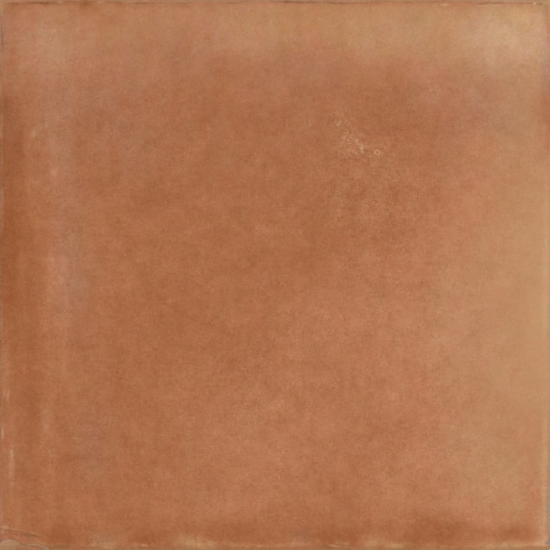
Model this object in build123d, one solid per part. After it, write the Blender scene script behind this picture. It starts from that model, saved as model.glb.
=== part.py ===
from build123d import *
import os
from math import cos, floor, pi, radians, sin

# A square terracotta floor tile: one fired piece with worn edges, a chipped corner and a keyed back.
# It lies face up with its back on z = 0 and its middle on the z axis. Sizes are in millimetres.

# Overall size
tile_side = 300.0  # across the body, both ways
tile_thickness = 15.0  # from the back's lands to the face
corner_radius = 1.2  # upright corners of the body

# Worn lip: the arris that rolls from the face down to each side
lip_widths = (2.0, 1.7, 2.4, 2.6)  # reach in over the face at the +X, +Y, -X and -Y sides
lip_drop = 1.5  # reach down the side
lip_wander = 0.7  # how far its inner line strays to either side of that width
lip_turn = 62.0  # degrees that it rolls through, so that it leaves the face at a crease
lip_sections = 4  # outlines that the roll is lofted through
corner_wear = 0.8  # how much rounder the corners are at the face
slow_waves = 3.0  # waves of the inner line along one side
quick_waves = 5.5
slow_share = 0.65  # how much of the wander the slow waves make
side_shift = 0.37  # how far the waves move on from one side to the next
wander_points = 25  # points that carry the inner line along one side

# Flakes broken off the corner at -X -Y: a wide shallow one, and two deeper ones inside it
wide_flake = (0.0, 46.0, 12.6, 0.6)  # middle and reach along the -Y side, reach in over the face, depth
deep_flakes = ((5.4, 7.2, 6.1, 2.2), (18.0, 9.0, 3.5, 1.7))
flake_lean = 7.5  # degrees that the wide one leans away from the -Y side

# Keyed back: grooves that run right through between the two Y sides
groove_mouth = 10.0
groove_land = 10.0  # least flat left between two grooves
groove_draft = 1.0  # how much narrower a groove is at its floor, on either hand
groove_depth = 1.5
groove_root = 0.6  # radius where its walls meet its floor
edge_land = 15.0  # flat left between the outermost grooves and the sides
back_chamfer = 0.8

half_side = tile_side / 2
lip_base = tile_thickness - lip_drop


def wander(along, number):
    """How far the lip's inner line strays at a share of the way along a side, from -1 to 1."""
    place = along + side_shift * number
    slow = slow_share * sin(2 * pi * slow_waves * place)
    quick = (1 - slow_share) * sin(2 * pi * quick_waves * place)
    fade = 1 - (2 * along - 1) ** 8
    return fade * (slow + quick)


def side_and_corner(number, share, height):
    """A side of the outline and the corner after it, where a share of the lip is worn away, as points."""
    before, here, after = (share * lip_widths[(number + step) % 4] for step in (-1, 0, 1))
    radius = corner_radius + share * corner_wear
    start = before + radius - half_side
    end = half_side - after - radius
    points = []
    for i in range(wander_points):
        along = i / (wander_points - 1)
        stray = share * lip_wander * wander(along, number)
        points.append(Vector(half_side - here - stray, start + (end - start) * along, height))
    bulge = radius * (1 - sin(pi / 4))
    middle = Vector(half_side - here - bulge, half_side - after - bulge, height)
    turned = [p.rotate(Axis.Z, 90 * number) for p in points + [middle]]
    return turned[:-1], turned[-1]


def outline(share, height):
    """The tile's outline where a share of the lip is worn away: four sides and four round corners."""
    quarters = [side_and_corner(number, share, height) for number in range(4)]
    edges = []
    for number, (points, middle) in enumerate(quarters):
        direction = Vector(0, 1).rotate(Axis.Z, 90 * number)
        next_start = quarters[(number + 1) % 4][0][0]
        if share == 0:
            edges.append(Line(points[0], points[-1]))
        else:
            edges.append(Spline(*points, tangents=(direction, direction)))
        edges.append(ThreePointArc(points[-1], middle, next_start))
    return Face(Wire(edges))


def worn_lip():
    """The top of the tile, lofted from the straight body up to the wavy edge of the face."""
    outlines = []
    last = radians(lip_turn)
    for i in range(lip_sections):
        turn = last * i / (lip_sections - 1)
        share = (1 - cos(turn)) / (1 - cos(last))
        height = lip_base + lip_drop * sin(turn) / sin(last)
        outlines.append(outline(share, height))
    return loft(outlines)


def straight_body():
    """The body below the lip, with its lower edges eased."""
    body = extrude(outline(0, 0), amount=lip_base)
    return chamfer(body.faces().sort_by(Axis.Z)[0].edges(), back_chamfer)


def back_groove():
    """One keying groove, centred on the middle of the back, as the solid to cut away."""
    mouth = groove_mouth / 2
    root = mouth - groove_draft
    section = Plane.XZ * Polyline(
        (-mouth, -groove_depth),
        (-mouth, 0),
        (-root, groove_depth),
        (root, groove_depth),
        (mouth, 0),
        (mouth, -groove_depth),
        close=True,
    )
    groove = extrude(make_face(section), amount=half_side + groove_mouth, both=True)
    return fillet(groove.edges().filter_by(Axis.Y).group_by(Axis.Z)[-1], groove_root)


def groove_places():
    """Where the grooves lie across the back: as many as the lands leave room for, evenly spread."""
    room = tile_side - 2 * edge_land
    count = floor((room + groove_land) / (groove_mouth + groove_land))
    pitch = (room - groove_mouth) / (count - 1)
    return [(i - (count - 1) / 2) * pitch for i in range(count)]


def corner_flake(middle, along, inward, depth, lean=0.0):
    """A shell-shaped scoop out of the -Y side, steep at its rim and flat in its floor."""
    scoop = scale(Sphere(1), by=(along, inward, depth))
    return Pos(middle - half_side, -half_side, tile_thickness) * Rot(Z=-lean) * scoop


def tile():
    piece = straight_body() + worn_lip()
    for x in groove_places():
        piece -= Pos(x, 0, 0) * back_groove()
    piece -= corner_flake(*wide_flake, flake_lean)
    for flake in deep_flakes:
        piece -= corner_flake(*flake)
    return piece


os.makedirs("parts", exist_ok=True)
whole_tile = tile()
export_step(whole_tile, "parts/tile.step")
print("tile", round(whole_tile.volume), "cubic mm,", whole_tile.bounding_box().size)
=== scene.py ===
import math

import bpy
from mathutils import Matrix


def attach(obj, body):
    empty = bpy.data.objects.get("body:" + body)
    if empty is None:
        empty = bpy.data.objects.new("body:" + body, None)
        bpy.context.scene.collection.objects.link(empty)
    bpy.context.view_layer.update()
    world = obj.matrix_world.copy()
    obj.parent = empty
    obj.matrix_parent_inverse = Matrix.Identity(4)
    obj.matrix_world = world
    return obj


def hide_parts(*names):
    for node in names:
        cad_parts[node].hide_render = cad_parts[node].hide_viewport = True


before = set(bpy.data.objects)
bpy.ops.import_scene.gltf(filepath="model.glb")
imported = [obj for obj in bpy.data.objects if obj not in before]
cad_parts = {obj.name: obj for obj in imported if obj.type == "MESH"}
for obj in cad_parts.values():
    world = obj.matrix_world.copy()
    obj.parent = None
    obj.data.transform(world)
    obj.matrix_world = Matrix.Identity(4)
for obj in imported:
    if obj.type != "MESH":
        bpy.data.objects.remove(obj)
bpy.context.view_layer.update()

print("frame loaded:", sorted(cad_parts))

mm = 0.001  # in metres
noiseMiddle = 0.5
noiseSpread = 2.6  # brings Blender's noise to about -1 to 1


# A value in a node tree, so that a sum of nodes reads as a sum
class Term:
    def __init__(self, tree, socket):
        self.tree = tree
        self.socket = socket

    def __add__(self, other):
        return mathTerm(self.tree, "ADD", self, other)

    def __radd__(self, other):
        return mathTerm(self.tree, "ADD", other, self)

    def __sub__(self, other):
        return mathTerm(self.tree, "SUBTRACT", self, other)

    def __rsub__(self, other):
        return mathTerm(self.tree, "SUBTRACT", other, self)

    def __mul__(self, other):
        return mathTerm(self.tree, "MULTIPLY", self, other)

    def __rmul__(self, other):
        return mathTerm(self.tree, "MULTIPLY", other, self)

    def __truediv__(self, other):
        return mathTerm(self.tree, "DIVIDE", self, other)

    def __neg__(self):
        return mathTerm(self.tree, "MULTIPLY", self, -1.0)


# A socket takes a term, another node's socket or a plain value
def feed(tree, value, socket):
    if isinstance(value, Term):
        value = value.socket
    if isinstance(value, bpy.types.NodeSocket):
        tree.links.new(value, socket)
    else:
        socket.default_value = value


def addNode(tree, kind, settings=None, **inputs):
    node = tree.nodes.new(kind)
    for key, value in (settings or {}).items():
        setattr(node, key, value)
    for key, value in inputs.items():
        feed(tree, value, node.inputs[key.replace("_", " ")])
    return node


def newGroup(name, kind, inputs, outputs):
    group = bpy.data.node_groups.new(name, kind)
    for socket, form in inputs.items():
        group.interface.new_socket(socket, in_out="INPUT", socket_type="NodeSocket" + form)
    for socket, form in outputs.items():
        group.interface.new_socket(socket, in_out="OUTPUT", socket_type="NodeSocket" + form)
    return group


def givenTerms(group):
    outputs = group.nodes.new("NodeGroupInput").outputs
    return {out.name: Term(group, out) for out in outputs if out.name}


def mathTerm(tree, operation, *values):
    node = addNode(tree, "ShaderNodeMath", {"operation": operation})
    for socket, value in zip(node.inputs, values):
        feed(tree, value, socket)
    return Term(tree, node.outputs[0])


def vectorTerm(tree, operation, *values, output="Vector"):
    node = addNode(tree, "ShaderNodeVectorMath", {"operation": operation})
    for socket, value in zip(node.inputs, values):
        feed(tree, value, socket)
    return Term(tree, node.outputs[output])


def sine(term):
    return mathTerm(term.tree, "SINE", term)


def root(term):
    return mathTerm(term.tree, "SQRT", most(term, 0.0))


def most(term, other):
    return mathTerm(term.tree, "MAXIMUM", term, other)


def least(term, other):
    return mathTerm(term.tree, "MINIMUM", term, other)


def unsigned(term):
    return mathTerm(term.tree, "ABSOLUTE", term)


def signOf(term):
    return mathTerm(term.tree, "SIGN", term)


def above(term, other):
    return mathTerm(term.tree, "GREATER_THAN", term, other)


def toPower(term, power):
    return mathTerm(term.tree, "POWER", term, power)


def choose(test, whenTrue, whenFalse):
    return test * whenTrue + (1.0 - test) * whenFalse


# 0 at start, 1 at end, eased between; start may be the larger
def eased(term, start, end):
    node = addNode(term.tree, "ShaderNodeMapRange", {"interpolation_type": "SMOOTHSTEP"},
                   Value=term, From_Min=start, From_Max=end)
    return Term(term.tree, node.outputs["Result"])


# 1 at the middle, 0 at half a width to either side
def ridge(term, middle, halfWidth):
    return eased(unsigned(term - middle), halfWidth, 0.0)


def splitXyz(tree, vector):
    node = addNode(tree, "ShaderNodeSeparateXYZ", Vector=vector)
    return [Term(tree, out) for out in node.outputs]


def joinXyz(tree, x, y, z):
    node = addNode(tree, "ShaderNodeCombineXYZ", X=x, Y=y, Z=z)
    return Term(tree, node.outputs[0])


def stretched(tree, vector, factors, shift=(0.0, 0.0, 0.0)):
    return vectorTerm(tree, "MULTIPLY_ADD", vector, factors, shift)


# Noise with its grain given as a size in the vector's own units
def noiseNode(tree, vector, size, detail=2.0, roughness=0.5):
    return addNode(tree, "ShaderNodeTexNoise", Vector=vector, Scale=1.0 / size, Detail=detail,
                   Roughness=roughness)


def noiseTerm(tree, vector, size, detail=2.0, roughness=0.5):
    node = noiseNode(tree, vector, size, detail, roughness)
    return (Term(tree, node.outputs["Fac"]) - noiseMiddle) * noiseSpread


def paint(red, green, blue):  # an 8-bit colour as Blender's linear one
    return tuple(((v / 255 + 0.055) / 1.055) ** 2.4 for v in (red, green, blue)) + (1.0,)


# Camera, floor and light
shoot = {
    "lens": 200.0,  # mm
    "sensor": 36.0,
    "shownSide": 0.2994,  # m of the tile that fills the frame
    "outlineHeight": 0.0135,  # m, where the tile is widest
    "clipEnd": 50.0,
    "floorSize": 6.0,
    "floorDrop": 0.0004,  # m below the back, so that the two don't flicker
    "floorColour": (0.78, 0.77, 0.75, 1.0),
    "floorRoughness": 0.9,
    "roomColour": (1.0, 1.0, 1.0, 1.0),
    "roomStrength": 0.78,
    "keyPlace": (2.6, -2.3, 3.0),
    "keySize": 2.4,
    "keyPower": 70.0,
}


def setUpCamera(scene):
    camera = bpy.data.objects.new("camera", bpy.data.cameras.new("camera"))
    camera.data.lens = shoot["lens"]
    camera.data.sensor_width = shoot["sensor"]
    camera.data.clip_end = shoot["clipEnd"]
    away = shoot["shownSide"] * shoot["lens"] / shoot["sensor"]
    camera.location = (0.0, 0.0, shoot["outlineHeight"] + away)
    scene.collection.objects.link(camera)
    scene.camera = camera


def setUpLight(scene):
    scene.view_settings.view_transform = "Standard"
    world = bpy.data.worlds.new("softRoom")
    world.use_nodes = True
    background = world.node_tree.nodes["Background"]
    background.inputs["Color"].default_value = shoot["roomColour"]
    background.inputs["Strength"].default_value = shoot["roomStrength"]
    scene.world = world

    key = bpy.data.objects.new("keyLight", bpy.data.lights.new("keyLight", "AREA"))
    key.data.size = shoot["keySize"]
    key.data.energy = shoot["keyPower"]
    key.location = shoot["keyPlace"]
    key.rotation_euler = (-key.location).to_track_quat("-Z", "Y").to_euler()
    scene.collection.objects.link(key)


def layFloor(scene):
    half = shoot["floorSize"] / 2
    corners = [(-half, -half, 0), (half, -half, 0), (half, half, 0), (-half, half, 0)]
    mesh = bpy.data.meshes.new("floor")
    mesh.from_pydata(corners, [], [(0, 1, 2, 3)])
    floor = bpy.data.objects.new("floor", mesh)
    floor.location.z = -shoot["floorDrop"]
    scene.collection.objects.link(floor)
    paper = bpy.data.materials.new("floorPaper")
    paper.use_nodes = True
    shader = paper.node_tree.nodes["Principled BSDF"]
    shader.inputs["Base Color"].default_value = shoot["floorColour"]
    shader.inputs["Roughness"].default_value = shoot["floorRoughness"]
    mesh.materials.append(paper)


# Tile body: the fired shape, in millimetres until the last nodes
tileShape = {
    "halfSide": 149.98,  # a hair inside the solid
    "thickness": 15.0,
    "cornerRadius": 1.2,
    "cornerWear": 0.8,
    "lipRight": 2.0,
    "lipTop": 1.7,
    "lipLeft": 2.4,
    "lipBottom": 2.6,
    "lipDrop": 1.5,
    "lipTurn": math.radians(62.0),
    "lipWander": 0.7,
    "creaseDepth": 0.14,  # where the lip leaves the face
    "crumble": 0.28,  # roughness of the worn lip
    "swell": 0.16,  # slow rise and fall of the face
    "dimple": 0.08,  # small hollows of the face
    "ragged": 0.5,  # how far a flake's rim strays
    "sideRough": 0.12,
    "backChamfer": 0.8,
    "grooveMouth": 10.0,
    "grooveDraft": 1.0,
    "grooveDepth": 1.5,
    "grooveRoot": 0.6,
    "grooveRootSteps": 4,
    "grooveOverrun": 8.0,  # how far a cutter sticks out past the tile
    "groovePitch": 20.0,
    "grooveCount": 14,
    "gridLines": 288,
    "edgeCrowding": 0.7,  # how much closer the grid's lines are at the sides than in the middle
    "weld": 0.001,
    "sharpAngle": math.radians(38.0),
    "seed": 11.0,
}
lipWaves = {
    "sides": ("lipRight", "lipTop", "lipLeft", "lipBottom"),
    "waves": ((3.0, 0.65), (5.5, 0.35)),  # waves along a side, and their share
    "sideShift": 0.37,  # of a wave, from one side to the next
    "cornerFade": 8.0,  # power that brings the waves to rest at the corners
}
wideFlake = {  # middle and reach along the -Y side, from the -X corner, and reach in from it
    "middle": 0.0, "along": 46.0, "inward": 12.6, "depth": 0.6, "lean": math.radians(7.5),
}
deepFlakes = [
    {"middle": 5.4, "along": 7.2, "inward": 6.1, "depth": 2.2, "lean": 0.0},
    {"middle": 18.0, "along": 9.0, "inward": 3.5, "depth": 1.7, "lean": 0.0},
]
relief = {  # noises are size in mm, detail and roughness; fades run from none to full
    "layer": 7.0,  # keeps this noise apart from that of the marks
    "swellNoise": (75.0, 1.0),
    "dimpleNoise": (13.0, 2.0),
    "creaseLine": (1.02, 0.30),  # middle and half width, in shares of the lip
    "creaseNoise": (16.0, 3.0),
    "creaseFade": (-0.5, 0.3),
    "crumbNoise": (2.6, 3.0, 0.6),
    "crumbFade": (-0.3, 0.9),
    "lipFade": (1.35, 0.95),
    "flakeFade": (1.05, 0.9),
    "flakeCrumbs": 0.5,
    "outlineFade": (0.0, 0.25),
    "raggedNoise": (4.0, 3.0),
    "sideNoise": (9.0, 3.0),
    "sideProud": 0.3,
}
sideRows = (11.0, 8.0, 5.0, 2.6)  # heights of the rows of points down the sides
farthest = {"lipShare": 12.0, "wideFlake": 4.0, "deepFlake": 4.0}  # the finish needs no more
atlas = {  # the map that the finish is baked on, in shares of its side
    "margin": 0.02,
    "face": 0.72,
    "faceSpan": 300.0,  # mm that the face's square stands for
    "backFrom": 0.76,
    "backHigh": 0.22,
    "stripFrom": 0.76,
    "stripStep": 0.055,
    "lipSlack": 0.05,  # mm under the lip that still count as face
    "backTilt": 0.3,  # how far down a back's normal points
}


def position(tree):
    return splitXyz(tree, tree.nodes.new("GeometryNodeInputPosition").outputs[0])


# Width of the lip at one side, at a place along that side
def lipWidth(size, number, place):
    sides = lipWaves["sides"]
    corner = size["cornerRadius"] + size["cornerWear"]
    start = size[sides[number - 1]] + corner - size["halfSide"]
    end = size["halfSide"] - size[sides[(number + 1) % 4]] - corner
    along = (place - start) / (end - start)
    moved = along + lipWaves["sideShift"] * number
    first, second = [share * sine(moved * (math.tau * count)) for count, share in lipWaves["waves"]]
    fade = 1.0 - toPower(unsigned(along * 2.0 - 1.0), lipWaves["cornerFade"])
    return size[sides[number]] + size["lipWander"] * fade * (first + second)


# How far a point is across the lip: 0 at the outline, 1 at the crease, more on the face
def lipShare(size, x, y):
    widthX = choose(above(x, 0.0), lipWidth(size, 0, y), lipWidth(size, 2, -y))
    widthY = choose(above(y, 0.0), lipWidth(size, 1, -x), lipWidth(size, 3, x))
    inX = size["halfSide"] - unsigned(x)
    inY = size["halfSide"] - unsigned(y)
    # A corner's arc moves in and grows with the share, which solves a quadratic there
    radius = size["cornerRadius"]
    wear = size["cornerWear"]
    startX = radius - inX
    startY = radius - inY
    growX = wear + widthX
    growY = wear + widthY
    a = growX * growX + growY * growY - wear * wear
    b = startX * growX + startY * growY - radius * wear
    c = startX * startX + startY * startY - radius * radius
    cornerShare = (root(b * b - a * c) - b) / a
    inCorner = above(startX + growX * cornerShare, 0.0) * above(startY + growY * cornerShare, 0.0)
    return choose(inCorner, cornerShare, least(inX / widthX, inY / widthY))


# How far the lip is below the face: an arc that starts upright at the outline
def lipFall(size, share):
    turnCos = mathTerm(share.tree, "COSINE", size["lipTurn"])
    cosNow = 1.0 - least(most(share, 0.0), 1.0) * (1.0 - turnCos)
    return size["lipDrop"] * (1.0 - root(1.0 - cosNow * cosNow) / sine(size["lipTurn"]))


def reliefSpot(size, x, y):
    return joinXyz(x.tree, x, y, size["seed"] * relief["layer"])


# How far a point is from the middle of a flake: 1 at its rim
def flakeReach(size, x, y, flake):
    turnCos = math.cos(flake["lean"])
    turnSin = math.sin(flake["lean"])
    fromX = x + size["halfSide"] - flake["middle"]
    fromY = y + size["halfSide"]
    acrossX = (fromX * turnCos - fromY * turnSin) / flake["along"]
    acrossY = (fromX * turnSin + fromY * turnCos) / flake["inward"]
    ragged = noiseTerm(x.tree, reliefSpot(size, x, y), *relief["raggedNoise"])
    return root(acrossX * acrossX + acrossY * acrossY) + ragged * (size["ragged"] / flake["inward"])


# A flat grid, its lines closer at the sides, its corners rounded
def flatGrid(tree, size):
    lines = size["gridLines"]
    grid = addNode(tree, "GeometryNodeMeshGrid", Size_X=2.0, Size_Y=2.0, Vertices_X=lines, Vertices_Y=lines)
    s, t, _ = position(tree)
    crowding = size["edgeCrowding"]
    radius = size["cornerRadius"]
    flat = size["halfSide"] - radius
    spread = [
        size["halfSide"] * (p * (1.0 - crowding) + sine(p * (math.tau / 4)) * crowding)
        for p in (s, t)
    ]
    # Each corner's square of points is pressed into a quarter of a disc
    past = [most(unsigned(p) - flat, 0.0) / radius for p in spread]
    rounded = [
        signOf(p) * (least(unsigned(p), flat) + radius * u * root(1.0 - v * v * 0.5))
        for p, u, v in zip(spread, past, reversed(past))
    ]
    placed = addNode(tree, "GeometryNodeSetPosition", Geometry=grid.outputs["Mesh"],
                     Position=joinXyz(tree, *rounded, 0.0))
    return placed.outputs["Geometry"]


# The worn lip, the flakes, then the relief, which only goes down
def wornFace(tree, size, body):
    x, y, _ = position(tree)
    share = lipShare(size, x, y)
    fall = lipFall(size, share)
    for flake in [wideFlake] + deepFlakes:
        reach = flakeReach(size, x, y, flake)
        fall = most(fall, root(1.0 - reach * reach) * flake["depth"])

    spot = reliefSpot(size, x, y)
    swell = (noiseTerm(tree, spot, *relief["swellNoise"]) + 1.0) * 0.5
    dimples = (noiseTerm(tree, spot, *relief["dimpleNoise"]) + 1.0) * 0.5
    crease = ridge(share, *relief["creaseLine"])
    crease = crease * eased(noiseTerm(tree, spot, *relief["creaseNoise"]), *relief["creaseFade"])
    crumbs = eased(noiseTerm(tree, spot, *relief["crumbNoise"]), *relief["crumbFade"])
    onLip = eased(share, *relief["lipFade"])
    inFlake = eased(flakeReach(size, x, y, wideFlake), *relief["flakeFade"])
    worn = (
        size["swell"] * swell
        + size["dimple"] * dimples
        + size["creaseDepth"] * crease
        + size["crumble"] * crumbs * most(onLip, inFlake * relief["flakeCrumbs"])
    )
    height = size["thickness"] - fall - worn * eased(share, *relief["outlineFade"])
    raised = addNode(tree, "GeometryNodeSetPosition", Geometry=body, Offset=joinXyz(tree, 0.0, 0.0, height))
    return raised.outputs["Geometry"]


# Sides, row by row down to the eased lower edge
def addSides(tree, size, body):
    facesBeside = tree.nodes.new("GeometryNodeInputMeshEdgeNeighbors").outputs[0]
    rim = mathTerm(tree, "LESS_THAN", facesBeside, 1.5)  # an open edge has one face
    rows = [(level, None) for level in sideRows]
    rows += [(size["backChamfer"], None), (0.0, size["backChamfer"])]
    for level, inset in rows:
        anyWayDown = joinXyz(tree, 0.0, 0.0, -0.5)  # the row is put in its place below
        extruded = addNode(tree, "GeometryNodeExtrudeMesh", {"mode": "EDGES"}, Mesh=body, Selection=rim,
                           Offset=anyWayDown)
        rim = Term(tree, extruded.outputs["Top"])
        x, y, _ = position(tree)
        rough = noiseTerm(tree, joinXyz(tree, x, y, level), *relief["sideNoise"])
        inward = inset or size["sideRough"] * most(rough + relief["sideProud"], 0.0)
        keep = 1.0 - inward / size["halfSide"]
        placed = addNode(tree, "GeometryNodeSetPosition", Geometry=extruded.outputs["Mesh"], Selection=rim,
                         Position=joinXyz(tree, x * keep, y * keep, level))
        body = placed.outputs["Geometry"]
    return body, rim


# Back: the last row is filled, and the shell is welded to it
def closeBack(tree, size, body, rim):
    ring = addNode(tree, "GeometryNodeMeshToCurve", Mesh=body, Selection=rim)
    filled = addNode(tree, "GeometryNodeFillCurve", {"mode": "NGONS"}, Curve=ring.outputs["Curve"])
    turned = addNode(tree, "GeometryNodeFlipFaces", Mesh=filled.outputs["Mesh"])
    both = tree.nodes.new("GeometryNodeJoinGeometry")
    for part in (body, turned.outputs["Mesh"]):
        tree.links.new(part, both.inputs["Geometry"])
    closed = addNode(tree, "GeometryNodeMergeByDistance", Geometry=both.outputs["Geometry"],
                     Distance=size["weld"])
    return closed.outputs["Geometry"]


# Keying grooves: one cutter, repeated across the back
def grooveCutters(tree, size):
    profile = addNode(tree, "GeometryNodeCurvePrimitiveQuadrilateral", {"mode": "TRAPEZOID"},
                      Bottom_Width=size["grooveMouth"] + size["grooveDraft"] * 2.0,
                      Top_Width=size["grooveMouth"] - size["grooveDraft"] * 2.0,
                      Height=size["grooveDepth"] * 2.0, Offset=0.0)
    softened = addNode(tree, "GeometryNodeFilletCurve", {"mode": "POLY"}, Curve=profile.outputs["Curve"],
                       Radius=size["grooveRoot"], Count=size["grooveRootSteps"])
    reach = size["halfSide"] + size["grooveOverrun"]
    line = addNode(tree, "GeometryNodeCurvePrimitiveLine", Start=joinXyz(tree, 0.0, -reach, 0.0),
                   End=joinXyz(tree, 0.0, reach, 0.0))
    upright = addNode(tree, "GeometryNodeSetCurveNormal", {"mode": "Z_UP"}, Curve=line.outputs["Curve"])
    bar = addNode(tree, "GeometryNodeCurveToMesh", Curve=upright.outputs["Curve"],
                  Profile_Curve=softened.outputs["Curve"], Fill_Caps=True)
    first = (size["grooveCount"] - 1.0) * size["groovePitch"] * -0.5
    places = addNode(tree, "GeometryNodeMeshLine", Count=size["grooveCount"],
                     Start_Location=joinXyz(tree, first, 0.0, 0.0),
                     Offset=joinXyz(tree, size["groovePitch"], 0.0, 0.0))
    copies = addNode(tree, "GeometryNodeInstanceOnPoints", Points=places.outputs["Mesh"],
                     Instance=bar.outputs["Mesh"])
    real = addNode(tree, "GeometryNodeRealizeInstances", Geometry=copies.outputs["Instances"])
    return real.outputs["Geometry"]


def storeValue(tree, body, name, value, kind="FLOAT", domain="POINT"):
    node = addNode(tree, "GeometryNodeStoreNamedAttribute", {"data_type": kind, "domain": domain},
                   Geometry=body, Name=name, Value=value)
    return node.outputs["Geometry"]


# Where the lip and the flakes are, for the finish
def storeWear(tree, size, body):
    x, y, _ = position(tree)
    deepest = flakeReach(size, x, y, deepFlakes[0])
    for flake in deepFlakes[1:]:
        deepest = least(deepest, flakeReach(size, x, y, flake))
    wear = {
        "lipShare": lipShare(size, x, y),
        "wideFlake": flakeReach(size, x, y, wideFlake),
        "deepFlake": deepest,
    }
    for name, term in wear.items():
        body = storeValue(tree, body, name, least(term, farthest[name]))
    return body


# One soft oval mark
def softMarkGroup():
    inputs = {
        "Place": "Vector",
        "Middle": "Vector",
        "Half Size": "Vector",
        "Lean": "Float",
        "Strength": "Float",
    }
    group = newGroup("softMark", "GeometryNodeTree", inputs, {"Amount": "Float"})
    given = givenTerms(group)
    turned = addNode(group, "ShaderNodeVectorRotate", {"rotation_type": "Z_AXIS"}, Vector=given["Place"],
                     Center=given["Middle"], Angle=-given["Lean"])
    moved = vectorTerm(group, "SUBTRACT", turned.outputs[0], given["Middle"])
    fitted = vectorTerm(group, "DIVIDE", moved, given["Half Size"])
    fade = eased(vectorTerm(group, "LENGTH", fitted, output="Value"), 1.0, 0.0)
    addNode(group, "NodeGroupOutput", Amount=fade * given["Strength"])
    return group


def sumOfMarks(tree, group, place, marks):
    total = None
    for x, y, halfWidth, halfHeight, lean, strength in marks:
        node = addNode(tree, "GeometryNodeGroup", {"node_tree": group}, Place=place, Middle=(x, y, 0.0),
                       Half_Size=(halfWidth, halfHeight, 1.0), Lean=math.radians(lean), Strength=strength)
        amount = Term(tree, node.outputs["Amount"])
        total = amount if total is None else total + amount
    return total


# The kiln's and the wear's marks, pulled out of true, so that none of them shows as an oval
def storeMarks(tree, size, body):
    x, y, _ = position(tree)
    softMark = softMarkGroup()
    for marked in markSets:
        pull = marked["pull"]
        noise = noiseNode(tree, joinXyz(tree, x, y, size["seed"]), *marked["noise"])
        middle = joinXyz(tree, x - pull / 2, y - pull / 2, 0.0)
        place = stretched(tree, noise.outputs["Color"], (pull, pull, 0.0), middle)
        for layer in marked["layers"]:
            total = sumOfMarks(tree, softMark, place, layer["marks"])
            body = storeValue(tree, body, layer["name"], total)
    return body


def perFace(term):
    node = addNode(term.tree, "GeometryNodeFieldOnDomain", {"data_type": "FLOAT", "domain": "FACE"},
                   Value=term)
    return Term(term.tree, node.outputs[0])


# Face large in the lower left, back squeezed above it, sides as strips at the right
def storeMap(tree, size, body):
    x, y, z = position(tree)
    alongX = x / size["halfSide"] * 0.5 + 0.5
    alongY = y / size["halfSide"] * 0.5 + 0.5
    normal = tree.nodes.new("GeometryNodeInputNormal").outputs["Normal"]
    normalX, normalY, normalZ = [perFace(n) for n in splitXyz(tree, normal)]
    isFace = above(perFace(z), size["thickness"] - size["lipDrop"] - atlas["lipSlack"])
    isBack = above(-normalZ, atlas["backTilt"]) * (1.0 - isFace)
    facesX = above(unsigned(normalX), unsigned(normalY))
    # The strips are in the order right, top, left and bottom
    strip = choose(facesX, choose(above(normalX, 0.0), 0.0, 2.0), choose(above(normalY, 0.0), 1.0, 3.0))
    run = choose(facesX, alongY, alongX)
    faceU = alongX * atlas["face"] + atlas["margin"]
    faceV = alongY * atlas["face"] + atlas["margin"]
    backV = alongY * atlas["backHigh"] + atlas["backFrom"]
    perMm = atlas["face"] / atlas["faceSpan"]
    sideU = strip * atlas["stripStep"] + z * perMm + atlas["stripFrom"]
    sideV = run * atlas["face"] + atlas["margin"]
    flat = most(isFace, isBack)
    u = choose(flat, faceU, sideU)
    v = choose(flat, choose(isFace, faceV, backV), sideV)
    return storeValue(tree, body, "OFBake", joinXyz(tree, u, v, 0.0), "FLOAT2", "CORNER")


def smoothed(tree, size, body):
    smooth = addNode(tree, "GeometryNodeSetShadeSmooth", {"domain": "FACE"}, Geometry=body,
                     Shade_Smooth=True)
    angle = Term(tree, tree.nodes.new("GeometryNodeInputMeshEdgeAngle").outputs[0])
    sharp = addNode(tree, "GeometryNodeSetShadeSmooth", {"domain": "EDGE"},
                    Geometry=smooth.outputs["Geometry"], Selection=above(angle, size["sharpAngle"]),
                    Shade_Smooth=False)
    return sharp.outputs["Geometry"]


def tileTree(material):
    inputs = {name: "Int" if isinstance(value, int) else "Float" for name, value in tileShape.items()}
    tree = newGroup("tileBody", "GeometryNodeTree", inputs, {"Geometry": "Geometry"})
    size = givenTerms(tree)
    body = flatGrid(tree, size)
    body = wornFace(tree, size, body)
    body, rim = addSides(tree, size, body)
    body = closeBack(tree, size, body, rim)
    cut = addNode(tree, "GeometryNodeMeshBoolean", {"operation": "DIFFERENCE", "solver": "MANIFOLD"},
                  Mesh_1=body, Mesh_2=grooveCutters(tree, size))
    body = storeWear(tree, size, cut.outputs["Mesh"])
    body = storeMarks(tree, size, body)
    body = storeMap(tree, size, body)
    body = smoothed(tree, size, body)
    metres = addNode(tree, "GeometryNodeTransform", Geometry=body, Scale=(mm, mm, mm))
    real = addNode(tree, "GeometryNodeRealizeInstances", Geometry=metres.outputs["Geometry"])
    dressed = addNode(tree, "GeometryNodeSetMaterial", Geometry=real.outputs["Geometry"], Material=material)
    addNode(tree, "NodeGroupOutput", Geometry=dressed.outputs["Geometry"])
    return tree


def makeTile(material):
    tree = tileTree(material)
    holder = bpy.data.objects.new("tileHolder", bpy.data.meshes.new("tileHolder"))
    bpy.context.scene.collection.objects.link(holder)
    modifier = holder.modifiers.new("tileBody", "NODES")
    modifier.node_group = tree
    for item in tree.interface.items_tree:
        if item.in_out == "INPUT":
            modifier[item.identifier] = tileShape[item.name]
    depsgraph = bpy.context.evaluated_depsgraph_get()
    mesh = bpy.data.meshes.new_from_object(holder.evaluated_get(depsgraph))
    mesh.name = "firedTile"
    bpy.data.objects.remove(holder)
    tile = bpy.data.objects.new("firedTile", mesh)
    bpy.context.scene.collection.objects.link(tile)
    triangles = sum(len(face.vertices) - 2 for face in mesh.polygons)
    print("tile made:", len(mesh.vertices), "points,", triangles, "triangles")
    return tile


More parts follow.
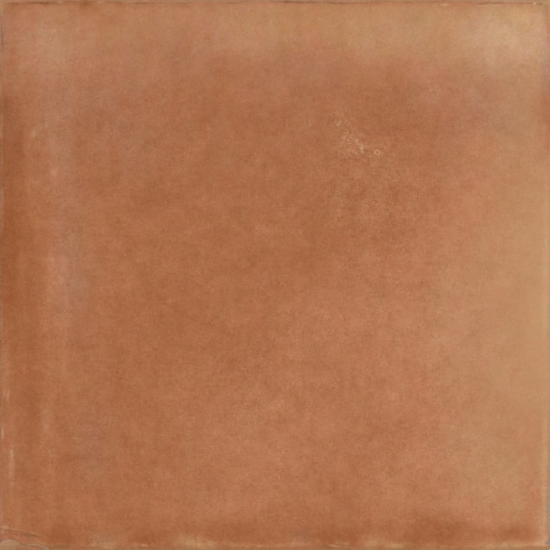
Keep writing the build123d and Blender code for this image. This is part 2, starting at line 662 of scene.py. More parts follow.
# Terracotta: what the kiln, the ash and the wear left on the clay; marks are in mm from the middle
# Noises are size in mm, detail and roughness, fades run from none to full, lines are middle and half width
kilnTone = {  # 0 is scorched, 1 is palest
    "name": "kilnTone",
    "ground": 0.29,
    "colours": [
        (0.00, paint(157, 92, 53)),
        (0.18, paint(167, 102, 63)),
        (0.36, paint(175, 111, 73)),
        (0.58, paint(186, 123, 87)),
        (0.78, paint(189, 135, 96)),
        (1.00, paint(197, 149, 108)),
    ],
    "marks": [  # x, y, half width, half height, lean, strength
        (178, -12, 155, 215, 0, 0.74),  # pale right side and the warm ground that leads to it
        (70, -45, 95, 80, 35, 0.16),
        (28, -24, 48, 42, 20, 0.15),
        (105, -112, 70, 44, 0, 0.24),
        (-6, -92, 78, 62, 0, 0.22),
        (0, 160, 420, 74, 0, 0.36),  # pale band along the top
        (112, 130, 95, 42, 0, 0.40),
        (45, 126, 42, 26, 0, 0.16),
        (-14, 131, 40, 22, 0, 0.12),
        (-122, 118, 50, 40, 0, 0.20),
        (-72, 112, 26, 24, 0, 0.08),
        (-98, 151, 40, 13, 0, -0.26),
        (0, 108, 34, 20, 0, 0.08),
        (118, 88, 26, 26, 0, 0.10),
        (130, 95, 16, 44, 0, 0.10),
        (105, 148, 55, 6, 0, -0.16),
        (-146, 92, 13, 64, 0, -0.14),
        (-150, 22, 20, 92, 0, -0.40),  # scorched left side, then the pale streak beside it
        (-136, -60, 14, 110, 0, -0.13),
        (-151, -52, 9, 70, 0, 0.08),
        (-118, 55, 13, 95, 0, 0.13),
        (-120, -8, 12, 36, 0, 0.17),
        (-117, -48, 9, 34, 0, 0.12),
        (-101, 16, 18, 34, 0, 0.10),
        (-66, 46, 22, 18, 0, -0.10),  # darker patches
        (-62, -22, 20, 22, 0, -0.07),
        (65, 82, 28, 22, 0, -0.10),
        (88, 66, 18, 22, 0, -0.12),
        (60, 24, 15, 17, 0, -0.10),
        (150, 82, 14, 26, 0, -0.22),
        (151, 104, 9, 46, 0, -0.24),
        (78, -62, 16, 22, 20, -0.06),
        (59, -118, 18, 22, 0, 0.12),
        (-30, -124, 80, 18, 0, 0.06),
        (82, -118, 16, 14, 0, -0.13),
        (130, -20, 18, 40, 0, -0.10),
        (-8, -8, 14, 30, 0, 0.06),
        (-96, 2, 14, 30, 0, 0.05),
        (70, 47, 24, 12, 0, -0.06),
        (-27, 86, 26, 12, 0, -0.09),
        (42, 46, 22, 16, 0, -0.07),
        (20, -89, 18, 10, 0, -0.07),
        (89, -89, 12, 10, 0, -0.07),
        (-86, -109, 12, 10, 0, -0.06),
        (142, 108, 9, 18, 0, 0.12),
        (109, 137, 16, 14, 0, -0.10),
        (-27, 128, 16, 8, 0, -0.10),
        (139, -112, 9, 44, 0, -0.12),
    ],
}
streaks = {  # crisper scorch: streaks down the left side, scallops along the bottom
    "name": "streaks",
    "flecked": 0.6,  # how much the clay's flecks break them
    "marks": [
        (-140, 72, 9, 34, 0, -0.12),  # left
        (-120.5, 68, 5, 34, 0, 0.11),
        (-117, 0, 6, 20, 0, 0.12),
        (-113.5, -26, 6, 17, 0, 0.16),
        (-132, -18, 6, 34, 0, -0.11),
        (-138, 0, 3, 16, 0, 0.08),
        (-144, 85, 6, 40, 0, -0.08),
        (-146, -50, 3, 30, 0, 0.14),
        (-142, -85, 3, 26, 0, 0.09),
        (-131, -110, 7, 18, 0, -0.10),
        (-121, -110, 4, 16, 0, 0.09),
        (-130.5, -80, 5, 24, 0, -0.10),
        (-122.5, -86, 4, 22, 0, 0.08),
        (-125, 148, 28, 2.4, 0, -0.30),  # top
        (-103, 146.8, 6, 4, 0, -0.30),
        (-102, 143, 9, 6, 0, -0.16),
        (-144, 143.4, 5, 6, 0, -0.20),
        (8, 148.2, 12, 2.4, 0, -0.16),
        (-84.5, 147.2, 5, 2.6, 0, -0.20),
        (-49, 146.8, 9, 3.2, 0, -0.32),
        (18.5, 148.0, 4, 2.0, 0, -0.22),
        (54, 147.6, 10, 3, 0, -0.18),
        (-110, 139, 18, 8, 0, -0.10),
        (-91, 138, 13, 9, 0, -0.12),
        (148.0, 132, 3.4, 19, 0, -0.34),
        (-139, 145.6, 8, 3.6, 0, -0.26),
        (-20, -143, 170, 14, 0, -0.10),  # bottom
        (-119, -143, 14, 10, 0, -0.28),
        (-123, -147.4, 10, 4, 0, -0.20),
        (-70, -142, 15, 9, 0, -0.17),
        (-21, -138, 18, 13, 0, -0.13),
        (30, -143, 12, 10, 0, -0.34),
        (42, -144, 8, 7, 0, -0.18),
        (38.5, -146.8, 6, 3, 0, -0.26),
        (74, -144, 6, 8, 0, -0.18),
        (90, -138, 26, 15, 0, -0.30),
        (131, -140.5, 17, 9, 0, -0.40),
        (114, -140, 13, 6, 0, -0.22),
        (100, -136, 12, 7, 0, -0.10),
        (50, 47, 12, 11, 0, -0.08),  # small patches of the field
        (89, 47, 12, 11, 0, -0.08),
        (129, 67, 11, 11, 0, 0.06),
        (-86, 8, 11, 12, 0, 0.06),
        (-27, -31, 13, 12, 0, -0.06),
        (11, -80, 13, 15, 0, -0.06),
        (-145, 47, 5, 12, 0, -0.08),
        (-64, -84, 5, 26, 0, -0.05),
    ],
}
cream = {  # paler clay between the scallops
    "name": "cream",
    "colour": paint(190, 146, 102),
    "marks": [
        (-94, -144.5, 13, 7, 0, 0.22),
        (-84, -142, 8, 6, 0, 0.24),
        (-43, -146, 15, 7, -10, 0.55),
        (-53, -143.6, 7, 5, 0, 0.24),
        (9, -146, 11, 6, 0, 0.14),
        (55, -146, 15, 8, 0, 0.36),
        (124, -148, 22, 4, 0, 0.55),
        (144, -140, 6, 20, 0, 0.22),
        (146.4, -110, 3.4, 22, 0, 0.55),
    ],
}
lilac = {  # hue alone: greyer and bluer, or golden where it is below 0
    "name": "lilac",
    "red": -0.09,
    "blue": 0.19,
    "marks": [
        (147, 116, 4, 24, 0, 0.40),
        (134, 142, 10, 7, 0, -0.55),
        (147.5, 144, 4, 9, 0, 0.70),
        (14, -142, 10, 7, 0, 1.00),
        (80, 138, 12, 9, 0, 0.40),
        (-94, -143, 13, 7, 0, 0.70),
        (-148.6, 133, 2.2, 16, 0, 0.60),
        (109, 67, 18, 14, 0, -0.40),
        (109, 40, 30, 16, 0, -0.30),
        (-100, 60, 18, 40, 0, 0.20),
        (-99, -92, 13, 34, 0, 0.32),
    ],
}
rosy = {  # hue alone: pinker, or more beige where it is below 0
    "name": "rosy",
    "green": -0.075,
    "marks": [
        (50, 106, 20, 12, 0, -0.90),
        (109, 67, 20, 16, 0, -0.70),
        (-106, -60, 13, 24, 0, -0.70),
        (129, -129, 16, 10, 0, -0.80),
        (-145, -129, 6, 12, 0, -0.70),
        (109, -30, 20, 34, 0, 0.70),
        (147, 146, 7, 6, 0, -0.80),
        (135, 141, 11, 8, 0, -0.70),
        (-147, 146, 6, 6, 0, -0.80),
        (139, 90, 10, 16, 0, -0.70),
        (-128, 118, 18, 16, 0, -0.25),
    ],
}
ash = {  # grey-lilac bloom of the kiln
    "name": "ash",
    "colour": paint(168, 122, 97),
    "marks": [
        (-95, 97, 44, 36, 0, 0.28),
        (-60, 117, 40, 28, 0, 0.16),
        (14, 112, 50, 24, 0, 0.22),
        (95, 104, 46, 24, 0, 0.18),
        (-76, 68, 28, 24, 0, 0.18),
        (-120, 84, 20, 42, 0, 0.22),
        (-115, 40, 14, 52, 0, 0.34),
        (-112, -1, 14, 34, 0, 0.32),
        (-104, -6, 10, 16, 0, 0.10),
        (-98, -92, 22, 38, 0, 0.18),
        (-50, 140, 140, 36, 0, 0.20),
        (122, 90, 46, 32, 0, 0.24),
        (-142, 90, 14, 56, 0, 0.14),
        (-142, -95, 14, 56, 0, 0.12),
        (0, 90, 260, 90, 0, 0.12),
        (-146, 140, 14, 22, 0, 0.20),
        (148, 106, 9, 34, 0, 0.30),
        (125, 85, 34, 40, 0, 0.06),
        (118, -100, 50, 60, 0, 0.12),
        (-132, 125, 44, 44, 0, 0.18),
        (-104, -20, 16, 80, 0, 0.14),
        (100, 68, 22, 36, 0, 0.14),
    ],
}
ochre = {  # yellower clay
    "name": "ochre",
    "colour": paint(192, 144, 92),
    "marks": [
        (140, 143, 34, 14, 0, 0.15),
        (20, 138, 100, 26, 0, 0.30),
        (-85, 138, 66, 24, 0, 0.18),
        (147, -6, 10, 90, 0, 0.20),
        (128, -105, 50, 60, 0, 0.10),
        (70, -118, 26, 20, 0, 0.14),
    ],
}
bloom = {  # palest salts
    "name": "bloom",
    "colour": paint(212, 176, 146),
    "marks": [
        (131, 128, 40, 28, 0, 0.42),
        (-120, 125, 26, 20, 0, 0.14),
        (-16, 131, 32, 18, 0, 0.12),
        (57, 128, 40, 20, 0, 0.08),
        (147, -146, 8, 8, 0, 0.15),
        (146, -130, 6, 16, 0, 0.18),
        (-147, -147, 8, 6, 0, 0.20),
    ],
}
specks = {  # light worn grains of grog near the surface
    "name": "specks",
    "colour": paint(204, 156, 118),
    "wormNoise": (1.9, 2.0, 0.6),
    "wormLine": (0.0, 0.28),
    "worms": 0.8,
    "patchNoise": (3.6, 3.0, 0.6),
    "patchFade": (-0.25, 0.40),
    "dotNoise": (1.0, 1.0),
    "dotFade": (0.15, 0.65),
    "dots": 0.7,
    "ringWidth": 0.9,
    "ringStray": 0.2,
    "marks": [
        (47, 72, 30, 15, -43, 0.54),
        (44, 71, 12, 10, -35, 0.66),
        (62, 57, 12, 10, -40, 0.30),
        (36, 84, 12, 9, 0, 0.48),
        (46, 44, 28, 42, 0, 0.34),
        (20, 85, 13, 11, 0, 0.36),
        (87, 101, 9, 7, 0, 0.45),
        (7, 33, 8, 8, 0, 0.40),
        (-8, 24, 8, 7, 0, 0.35),
        (-12, -60, 64, 54, 0, 0.16),
        (-34, -128, 12, 12, 0, 0.30),
        (-123, -84, 7, 18, 0, 0.30),
        (-60, -111, 7, 9, 0, 0.30),
        (-51, -80, 11, 15, 0, 0.22),
    ],
    "pits": [  # x, y, radius of a pale ring, strength
        (55.6, 66.5, 1.2, 0.42),
        (47.2, 69.2, 0.5, 0.60),
        (44.4, 73.2, 0.6, 0.30),
    ],
}
coarse = {  # where the grain is coarser or smoother
    "name": "coarse",
    "marks": [
        (54, 42, 44, 66, 0, 0.42),
        (-14, -58, 62, 54, 0, 0.14),
        (0, 160, 420, 105, 0, -0.40),
        (170, -20, 110, 190, 0, -0.74),
    ],
}
darkLines = {  # cracks and dirt along the edges
    "name": "darkLines",
    "colour": paint(112, 68, 44),
    "marks": [
        (112, 147.5, 6, 0.6, 0, 0.50),
        (121, 148.2, 4, 0.5, 10, 0.50),
        (138, 147.7, 12, 0.5, 0, 0.25),
        (145, 147.6, 1.6, 1.1, 0, 0.55),
        (-126, 148.0, 13, 0.8, 1, 0.50),
        (-103, 147.2, 5, 1.5, 0, 0.20),
        (18, 148.4, 26, 1.1, 0, 0.40),
        (-148.3, 128, 0.9, 14, 0, 0.45),
        (-146.4, 93, 0.9, 8, 0, 0.40),
        (-134.4, -141.8, 9, 0.9, -9, 0.45),
        (-115, -147.5, 9, 2.2, 0, 0.25),
        (-69, -148.5, 8, 0.7, 0, 0.40),
        (-73.8, -147.9, 1.8, 0.9, -20, 0.60),
        (36, -148.5, 8, 0.7, 0, 0.35),
        (29.4, -148.3, 2.4, 0.9, -10, 0.50),
        (-133, -147.4, 8, 1.0, -8, 0.30),
        (-108, -146.5, 10, 0.8, -24, 0.28),
        (-141, 147.5, 6, 0.8, -3, 0.50),
        (-70, 147.8, 11, 0.7, 0, 0.32),
        (-24, 147.8, 7, 0.7, 3, 0.32),
        (-48, 147.0, 6, 1.8, 0, 0.16),
        (6.5, 148.6, 2.4, 0.8, 0, 0.40),
        (37, 147.8, 11, 0.7, 0, 0.30),
        (46, 148.0, 8, 0.6, 0, 0.25),
        (72, 147.8, 6, 0.5, 6, 0.30),
    ],
}
paleLines = {  # chipped places that show cleaner clay
    "name": "paleLines",
    "colour": paint(212, 174, 142),
    "marks": [
        (118, 146.7, 14, 0.9, 0, 0.40),
        (125, 149.3, 26, 1.2, 0, 0.30),
        (146.5, 148.6, 5, 1.6, 0, 0.30),
        (92.5, 147.1, 3, 0.8, 0, 0.70),
        (-117, 148.5, 2.6, 0.8, 0, 0.40),
        (-95, 148.5, 2.4, 0.8, 0, 0.35),
        (-46, 147.0, 3, 0.8, 0, 0.25),
        (141, 147.6, 1.6, 1.3, 0, 0.90),
        (-148, -85.6, 0.9, 5, 0, 0.55),
        (-143.4, -105, 2.4, 20, 0, 0.18),
        (-143.2, -97, 1.4, 6, 0, 0.24),
        (-145.1, -66, 1.0, 7, 0, 0.30),
        (-131, 77.5, 2.0, 4, 0, 0.28),
        (-119.8, 55.5, 2.2, 5, 0, 0.26),
        (-121.6, 9, 1.8, 4.5, 0, 0.16),
        (-124, 82, 1.6, 7, 0, 0.16),
        (-113.6, -12, 2.0, 9, 0, 0.16),
        (-112, -22, 1.6, 6, 0, 0.12),
        (-116.5, -4, 1.4, 6, 0, 0.10),
        (-125.2, -74.6, 3.2, 1.6, 16, 0.20),
        (-124.8, -82, 2.2, 6, 0, 0.18),
        (-121, -97, 3.4, 3.4, 0, 0.18),
        (-72.4, -96.6, 1.8, 2.8, 0, 0.20),
        (-147.4, -64, 1.0, 4, 0, 0.20),
        (-146.8, -137.2, 2.6, 2.2, 0, 0.22),
        (146.4, -98, 2.6, 52, 0, 0.18),
        (147, 0, 3.4, 60, 0, 0.20),
    ],
}
creamLines = {  # worn clay along the bottom lip
    "name": "creamLines",
    "colour": paint(200, 152, 102),
    "marks": [
        (-71, -147.2, 3, 1.0, -20, 0.55),
        (-76, -147.4, 1.8, 0.9, 0, 0.30),
        (-90.5, -148.3, 9, 0.9, 0, 0.35),
        (-41, -147.2, 10, 2.6, -8, 0.36),
        (66, -147.4, 9, 2.4, -4, 0.50),
        (-22, -147.2, 2.4, 1.3, 0, 0.40),
        (-15, -147.4, 2.2, 1.1, 0, 0.30),
        (-8, -147.6, 3, 1.0, 0, 0.25),
        (92, -147.6, 3, 1.2, 0, 0.30),
        (137, -146.9, 14, 1.2, 5, 0.50),
        (118, -148.2, 8, 1.0, 3, 0.35),
        (32, -147.3, 5, 1.0, -12, 0.50),
        (38, -148.2, 5, 0.8, 0, 0.25),
    ],
}
lichen = {  # grey-green line down the lower right side
    "name": "lichen",
    "colour": paint(128, 130, 116),
    "marks": [
        (149.2, -104, 1.1, 52, 0, 0.40),
        (149.4, -30, 1.1, 60, 0, 0.25),
        (148.4, -130, 2.2, 26, 0, 0.34),
        (148.0, -145.6, 1.4, 1.6, 0, 0.90),
    ],
}
markSets = [  # each with the noise and the pull, in mm, that take its marks out of true
    {"layers": (kilnTone, ash, ochre, bloom, specks, coarse), "noise": (20.0, 3.0), "pull": 12.0},
    {"layers": (streaks, cream, lilac, rosy), "noise": (7.0, 3.0), "pull": 3.0},
    {"layers": (darkLines, paleLines, creamLines, lichen), "noise": (5.0, 3.0), "pull": 1.6},
]
clouds = {  # how the kiln's colours break up
    "mottleNoise": (11.0, 4.0, 0.6),
    "dragStretch": (0.2, 0.035, 0.2),
    "dragNoise": (1.0, 3.0),
    "leftFade": (-70.0, -130.0),  # mm, the left side is dragged more
    "drag": 0.03,
    "dragLeft": 0.08,
    "mottle": 0.045,
    "mottleLeft": -0.02,
    "layerMottle": 0.5,
    "layerDrag": 0.6,
    "lineFlecks": 0.8,
}
edgeWearAndShade = {  # lines are in shares of the lip, strengths go by side
    "sideFade": (139.0, 145.0),  # mm from the middle
    "strayNoise": (4.0, 3.0),
    "stray": 0.3,
    "brokenNoise": (11.0, 4.0, 0.7),
    "brokenFade": (-0.25, 0.35),
    "lipFade": (1.10, 0.55),
    "creaseLine": (0.95, 0.40),
    "highlightLine": (1.45, 0.80),
    "haloLine": (1.4, 1.6),
    "pale": {"colour": paint(194, 148, 116), "upper": 0.35, "left": 0.08, "leftBroken": 0.26},
    "olive": {"colour": paint(146, 108, 74), "lower": 0.45, "right": 0.12},
    # painted highlight: a pale line just inside the lip on the lower and right sides, which face the light
    "inside": {"colour": paint(204, 162, 120), "lower": 0.22, "right": 0.22},
    # painted shade in the crease on the upper and left sides, which face away from the light; its halo is a
    # broader brown band along the top
    "creaseShadeAndHalo": {"colour": paint(140, 80, 46), "upper": 0.40, "left": 0.12, "halo": 0.10},
}
flakeWearAndShade = {  # lines are in shares of a flake's reach, so that 1 is its rim
    "wideEnd": (-124.0, -132.0),  # mm, where the wide flake's wear fades out
    "cornerFade": (-137.0, -142.0),  # mm, from the second deep flake to the corner's own
    "crumbNoise": (1.6, 3.0, 0.65),
    "brokenFade": (-0.7, 0.3),
    "wideStray": 0.012,
    "deepStray": 0.05,
    "scarFade": (1.0, 0.93),
    "scar": {"colour": paint(158, 94, 62), "amount": 0.35, "crumbs": 0.35},
    "looseNoise": (2.2, 3.0, 0.65),
    "looseFade": (-0.1, 0.55),
    "loose": {"colour": paint(184, 128, 100), "amount": 0.5},
    # pale worn clay and a painted highlight on the wide flake's rim
    "rim": {"colour": paint(174, 134, 102), "line": (1.02, 0.06), "amount": 0.42},
    # dirt and painted shadow just inside the wide flake's rim; the deep flakes' dark lines use its colour
    "darkEdge": {"colour": paint(118, 78, 46), "line": (0.94, 0.05), "amount": 0.45},
    "floorFade": (1.0, 0.85),
    "floor": {"colour": paint(168, 131, 95), "amount": 0.16, "corner": 0.40, "even": 0.9, "crumbs": 0.6},
    "deepDirt": {"line": (1.09, 0.10), "amount": 0.50},
    "deepRim": {"colour": paint(162, 148, 122), "line": (0.93, 0.18), "amount": 0.55, "corner": -0.15},
}
rawClay = {  # sides and back
    "dark": paint(150, 88, 56),
    "light": paint(180, 120, 84),
    "dust": paint(196, 158, 128),
    "backFade": (1.75, 1.55),  # mm, just over the grooves' floors
    "dragNoise": (1.0, 3.0),
    "sideStretch": (0.03, 0.03, 1.1),
    "backStretch": (0.25, 0.04, 0.25),
    "drag": 0.30,
    "dragBack": 0.3,
    "patchNoise": (24.0, 4.0, 0.6),
    "patches": 0.45,
    "ground": 0.5,
    "dustNoise": (8.0, 5.0, 0.65),
    "dustFade": (0.05, 0.8),
    "dusty": 0.35,
    "sandNoise": (1.3, 2.0, 0.6),
    "sandFade": (0.30, 0.75),
    "sandy": 0.45,
}
clayGrain = {
    "pointNoise": (0.8, 1.0),
    "points": 0.5,
    "threadNoise": (1.0, 1.0),
    "alongStretch": (0.22, 0.65, 0.65),
    "acrossStretch": (0.65, 0.22, 0.65),
    "threadLine": (0.0, 0.30),
    "threadMean": 0.75,
    "threads": 0.26,
    "fleckNoise": (2.6, 3.0, 0.65),
}
clayTint = {  # the grain's brightness and hue
    "grain": 0.245,
    "wideNoise": (8.0, 2.0),  # of the places where the grain is stronger
    "wide": 1.1,
    "tightNoise": (2.8, 1.0),
    "tight": 1.1,
    "weakest": 0.2,
    "fractalNoise": (15.0, 5.0, 0.95),
    "fractal": 0.44,
    "red": 0.62,  # how far red and blue follow the brightness, where green is 1
    "blue": 1.4,
    "hueNoise": (15.0, 5.0, 0.88),
    "pinkShift": (-70.0, 20.0, 0.0),
    "pink": 0.092,
    "yellowShift": (90.0, 40.0, 0.0),
    "yellow": 0.12,
    "yellowTop": 0.20,
    "topFade": (85.0, 135.0),  # mm
}
finish = {
    "roughness": 0.84,
    "roughMottle": 0.05,
    "specular": 0.12,
    "bump": 0.35,
    "bumpReach": 0.0002,  # m
    "bumpGrain": 0.5,
    "bumpFlecks": 0.5,
    "faceFade": (12.6, 13.4),  # mm up the sides, where the face's finish begins
    "flakeFade": (12.0, 12.5),  # mm, lower in the deep flakes
    "inFlake": (1.05, 0.95),
}


def colourRamp(tree, term, stops):
    node = addNode(tree, "ShaderNodeValToRGB", Fac=term)
    ramp = node.color_ramp
    while len(ramp.elements) < len(stops):
        ramp.elements.new(0.5)
    for element, (where, colour) in zip(ramp.elements, stops):
        element.position = where
        element.color = colour
    return Term(tree, node.outputs["Color"])


def mixColour(tree, amount, under, over):
    node = addNode(tree, "ShaderNodeMix", {"data_type": "RGBA"}, Factor=amount)
    feed(tree, under, node.inputs[6])  # its colour sockets have the names of its other ones
    feed(tree, over, node.inputs[7])
    return Term(tree, node.outputs[2])


def attributeTerm(tree, name):
    node = addNode(tree, "ShaderNodeAttribute", {"attribute_type": "GEOMETRY", "attribute_name": name})
    return Term(tree, node.outputs["Fac"])


# Grain of the clay: fine points, light threads both ways, and larger flecks
def clayGrainGroup():
    outputs = {"Grain": "Float", "Flecks": "Float"}
    group = newGroup("clayGrain", "ShaderNodeTree", {"Place": "Vector"}, outputs)
    place = givenTerms(group)["Place"]
    points = noiseTerm(group, place, *clayGrain["pointNoise"])
    along, across = [
        ridge(noiseTerm(group, stretched(group, place, clayGrain[way]), *clayGrain["threadNoise"]),
              *clayGrain["threadLine"])
        for way in ("alongStretch", "acrossStretch")
    ]
    threads = along + across - clayGrain["threadMean"]
    addNode(group, "NodeGroupOutput",
            Grain=points * clayGrain["points"] + threads * clayGrain["threads"],
            Flecks=noiseTerm(group, place, *clayGrain["fleckNoise"]))
    return group


# The kiln's colours, with ash, ochre, salts and cream over them
def kilnColours(tree, place, mottle, flecks):
    x = splitXyz(tree, place)[0]
    left = eased(x, *clouds["leftFade"])
    drag = noiseTerm(tree, stretched(tree, place, clouds["dragStretch"]), *clouds["dragNoise"])
    streaked = attributeTerm(tree, streaks["name"]) * (flecks * streaks["flecked"] + 1.0)
    tone = attributeTerm(tree, kilnTone["name"]) + streaked + kilnTone["ground"]
    tone = tone + drag * (left * clouds["dragLeft"] + clouds["drag"])
    tone = tone + mottle * (left * clouds["mottleLeft"] + clouds["mottle"])
    colour = colourRamp(tree, tone, kilnTone["colours"])
    broken = mottle * clouds["layerMottle"] + drag * clouds["layerDrag"] + 1.0
    for layer in (ash, ochre, bloom, cream):
        colour = mixColour(tree, attributeTerm(tree, layer["name"]) * broken, colour, layer["colour"])
    return colour


# Worn grains of grog, and pale rings round small pits
def grogSpecks(tree, colour, place, flecks):
    x, y, _ = splitXyz(tree, place)
    worms = ridge(noiseTerm(tree, place, *specks["wormNoise"]), *specks["wormLine"])
    patchy = eased(noiseTerm(tree, place, *specks["patchNoise"]), *specks["patchFade"])
    dots = eased(noiseTerm(tree, place, *specks["dotNoise"]), *specks["dotFade"])
    amount = most(worms * patchy * specks["worms"], dots * specks["dots"])
    amount = amount * attributeTerm(tree, specks["name"])
    for pitX, pitY, radius, strength in specks["pits"]:
        away = root((x - pitX) * (x - pitX) + (y - pitY) * (y - pitY)) + flecks * specks["ringStray"]
        amount = amount + ridge(away, radius, specks["ringWidth"]) * strength
    return mixColour(tree, amount, colour, specks["colour"])


# Wear along the four sides, with painted shade in the crease on the upper and left sides and a painted
# highlight just inside the lip on the lower and right sides, by how far a point is across the lip
def wornAndShadedEdges(tree, colour, place):
    x, y, _ = splitXyz(tree, place)
    right, left, upper, lower = [eased(p, *edgeWearAndShade["sideFade"]) for p in (x, -x, y, -y)]
    stray = noiseTerm(tree, place, *edgeWearAndShade["strayNoise"]) * edgeWearAndShade["stray"]
    share = attributeTerm(tree, "lipShare") + stray
    broken = eased(noiseTerm(tree, place, *edgeWearAndShade["brokenNoise"]), *edgeWearAndShade["brokenFade"])
    lip = eased(share, *edgeWearAndShade["lipFade"])
    highlight = ridge(share, *edgeWearAndShade["highlightLine"]) * broken
    crease = ridge(share, *edgeWearAndShade["creaseLine"]) * broken
    halo = ridge(share, *edgeWearAndShade["haloLine"]) * upper
    pale = edgeWearAndShade["pale"]
    amount = lip * (upper * pale["upper"] + left * (broken * pale["leftBroken"] + pale["left"]))
    colour = mixColour(tree, amount, colour, pale["colour"])
    # the olive worn lip on the lower and right sides, then the painted highlight just inside the lip there,
    # where those sides face the light
    for line, wear in ((lip, edgeWearAndShade["olive"]), (highlight, edgeWearAndShade["inside"])):
        amount = line * (lower * wear["lower"] + right * wear["right"])
        colour = mixColour(tree, amount, colour, wear["colour"])
    # painted shade in the crease on the upper and left sides, which face away from the light, and a broader
    # brown band along the top
    creaseShadeAndHalo = edgeWearAndShade["creaseShadeAndHalo"]
    amount = crease * (upper * creaseShadeAndHalo["upper"] + left * creaseShadeAndHalo["left"]) + halo * creaseShadeAndHalo["halo"]
    return mixColour(tree, amount, colour, creaseShadeAndHalo["colour"])


# Corner flakes: red scar with loose crumbs, pale rims with dark lines beside them, cleaner clay inside; on
# the wide flake the pale rim is partly a painted highlight and the dark line just inside it partly painted
# shadow
def flakedCorner(tree, colour, place):
    x = splitXyz(tree, place)[0]
    near = eased(x, *flakeWearAndShade["wideEnd"])
    corner = eased(x, *flakeWearAndShade["cornerFade"])
    crumbs = noiseTerm(tree, place, *flakeWearAndShade["crumbNoise"])
    broken = eased(crumbs, *flakeWearAndShade["brokenFade"])
    wide = attributeTerm(tree, "wideFlake") + crumbs * flakeWearAndShade["wideStray"]
    deep = attributeTerm(tree, "deepFlake") + crumbs * flakeWearAndShade["deepStray"]

    scar = flakeWearAndShade["scar"]
    scarred = eased(wide, *flakeWearAndShade["scarFade"]) * near
    colour = mixColour(tree, scarred * (crumbs * scar["crumbs"] + scar["amount"]), colour, scar["colour"])
    loose = eased(noiseTerm(tree, place, *flakeWearAndShade["looseNoise"]), *flakeWearAndShade["looseFade"])
    amount = scarred * loose * flakeWearAndShade["loose"]["amount"]
    colour = mixColour(tree, amount, colour, flakeWearAndShade["loose"]["colour"])
    # pale worn clay with a painted highlight on the wide flake's rim, then dirt with painted shadow just
    # inside the rim
    for wear in (flakeWearAndShade["rim"], flakeWearAndShade["darkEdge"]):
        amount = ridge(wide, *wear["line"]) * near * broken * wear["amount"]
        colour = mixColour(tree, amount, colour, wear["colour"])

    floor = flakeWearAndShade["floor"]
    amount = eased(deep, *flakeWearAndShade["floorFade"]) * (corner * floor["corner"] + floor["amount"])
    amount = amount * (crumbs * floor["crumbs"] + floor["even"])
    colour = mixColour(tree, amount, colour, floor["colour"])
    darkEdge = flakeWearAndShade["deepDirt"]
    amount = ridge(deep, *darkEdge["line"]) * broken * darkEdge["amount"]
    colour = mixColour(tree, amount, colour, flakeWearAndShade["darkEdge"]["colour"])
    rim = flakeWearAndShade["deepRim"]
    amount = ridge(deep, *rim["line"]) * broken * (corner * rim["corner"] + rim["amount"])
    return mixColour(tree, amount, colour, rim["colour"])


# Cracks, dirt, chips and lichen along the edges
def edgeLines(tree, colour, flecks):
    for layer in (darkLines, paleLines, creamLines, lichen):
        amount = attributeTerm(tree, layer["name"]) * (flecks * clouds["lineFlecks"] + 1.0)
        colour = mixColour(tree, amount, colour, layer["colour"])
    return colour


# Bare clay: dragged along the sides, sandy and dragged along the grooves on the back
def bareClay(tree, place):
    onBack = eased(splitXyz(tree, place)[2], *rawClay["backFade"])
    dragSide, dragBack = [
        noiseTerm(tree, stretched(tree, place, rawClay[way]), *rawClay["dragNoise"])
        for way in ("sideStretch", "backStretch")
    ]
    patches = noiseTerm(tree, place, *rawClay["patchNoise"])
    shade = choose(onBack, dragBack * rawClay["dragBack"], dragSide) * rawClay["drag"]
    shade = shade + patches * rawClay["patches"] + rawClay["ground"]
    colour = mixColour(tree, shade, rawClay["dark"], rawClay["light"])
    dust = eased(noiseTerm(tree, place, *rawClay["dustNoise"]), *rawClay["dustFade"])
    sand = eased(noiseTerm(tree, place, *rawClay["sandNoise"]), *rawClay["sandFade"]) * onBack
    return mixColour(tree, most(dust * rawClay["dusty"], sand * rawClay["sandy"]), colour, rawClay["dust"])


# Where the face's finish is: the face, the lip and the deep flakes
def faceMask(tree, place):
    z = splitXyz(tree, place)[2]
    inFlake = eased(attributeTerm(tree, "deepFlake"), *finish["inFlake"])
    return most(eased(z, *finish["faceFade"]), eased(z, *finish["flakeFade"]) * inFlake)


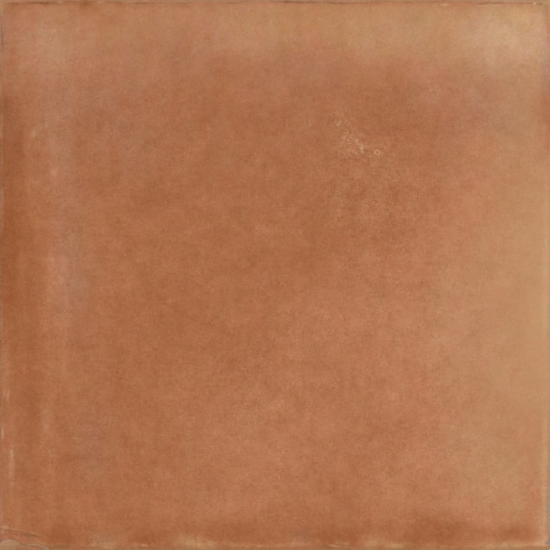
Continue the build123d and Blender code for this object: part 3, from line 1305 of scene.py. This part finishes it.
# Grain in brightness and in hue, with the lilac and the rosy places
def tinted(tree, colour, place, grain):
    y = splitXyz(tree, place)[1]
    wide = noiseTerm(tree, place, *clayTint["wideNoise"]) * clayTint["wide"]
    tight = noiseTerm(tree, place, *clayTint["tightNoise"]) * clayTint["tight"]
    clusters = most(wide + tight + 1.0, clayTint["weakest"])
    fractal = noiseTerm(tree, place, *clayTint["fractalNoise"])
    bright = grain * clusters * clayTint["grain"] + fractal * clayTint["fractal"]
    bright = bright * (attributeTerm(tree, coarse["name"]) + 1.0)

    pink, yellow = [
        noiseTerm(tree, stretched(tree, place, (1.0, 1.0, 1.0), clayTint[shift]), *clayTint["hueNoise"])
        for shift in ("pinkShift", "yellowShift")
    ]
    pink = pink * clayTint["pink"]
    yellow = yellow * (eased(y, *clayTint["topFade"]) * clayTint["yellowTop"] + clayTint["yellow"])
    greyed = attributeTerm(tree, lilac["name"])
    blushed = attributeTerm(tree, rosy["name"])
    red = (bright * clayTint["red"] + 1.0) * (1.0 + pink) * (greyed * lilac["red"] + 1.0)
    green = (bright + 1.0) * (1.0 - pink) * (blushed * rosy["green"] + 1.0)
    blue = (bright * clayTint["blue"] + 1.0) * (1.0 - yellow) * (greyed * lilac["blue"] + 1.0)
    return vectorTerm(tree, "MULTIPLY", colour, joinXyz(tree, red, green, blue))


def makeTerracotta():
    material = bpy.data.materials.new("firedTerracotta")
    material.use_nodes = True
    tree = material.node_tree
    shader = tree.nodes["Principled BSDF"]
    metres = tree.nodes.new("ShaderNodeTexCoord").outputs["Object"]
    place = stretched(tree, metres, (1 / mm, 1 / mm, 1 / mm))
    clay = addNode(tree, "ShaderNodeGroup", {"node_tree": clayGrainGroup()}, Place=place)
    grain = Term(tree, clay.outputs["Grain"])
    flecks = Term(tree, clay.outputs["Flecks"])
    mottle = noiseTerm(tree, place, *clouds["mottleNoise"])

    colour = kilnColours(tree, place, mottle, flecks)
    colour = grogSpecks(tree, colour, place, flecks)
    colour = wornAndShadedEdges(tree, colour, place)
    colour = flakedCorner(tree, colour, place)
    colour = edgeLines(tree, colour, flecks)
    colour = mixColour(tree, faceMask(tree, place), bareClay(tree, place), colour)
    colour = tinted(tree, colour, place, grain)
    feed(tree, colour, shader.inputs["Base Color"])

    feed(tree, mottle * finish["roughMottle"] + finish["roughness"], shader.inputs["Roughness"])
    shader.inputs["Specular IOR Level"].default_value = finish["specular"]
    bump = addNode(tree, "ShaderNodeBump", Strength=finish["bump"], Distance=finish["bumpReach"],
                   Height=grain * finish["bumpGrain"] + flecks * finish["bumpFlecks"])
    feed(tree, bump.outputs["Normal"], shader.inputs["Normal"])
    print("terracotta made:", len(tree.nodes), "nodes")
    return material


scene = bpy.context.scene
setUpCamera(scene)
setUpLight(scene)
layFloor(scene)
print("camera, light and floor are set")
terracotta = makeTerracotta()
tile = makeTile(terracotta)
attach(tile, "root")
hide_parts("tile")
